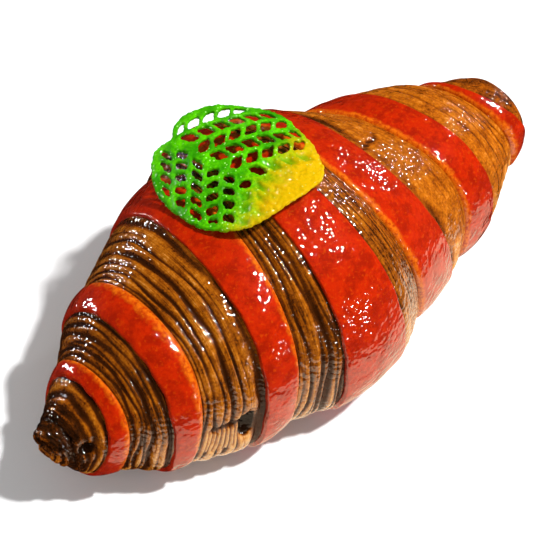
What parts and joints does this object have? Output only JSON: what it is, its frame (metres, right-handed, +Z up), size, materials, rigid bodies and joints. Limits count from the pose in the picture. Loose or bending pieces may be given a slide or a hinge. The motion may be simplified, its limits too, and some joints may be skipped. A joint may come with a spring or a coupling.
{
  "type": "two-tone croissant",
  "caption": "Glazed croissant rolled from brown laminated dough with a red outer sheet, with a pierced green wafer leaf on top.",
  "frame": {"origin": "middle of the part's box, on the surface it rests on", "axes": "+Z up, +X along the roll from the tightly rolled near end to the far end"},
  "size_m": [0.16, 0.0798, 0.0665],
  "materials": {
    "baked_layers": "glazed, browned dough layers",
    "red_sheet": "glazed red dough sheet",
    "wafer": "gritty green wafer, yellow at one edge"
  },
  "bodies": {
    "root": {"croissant": "baked_layers", "lace_leaf": "wafer"}
  },
  "joints": []
}
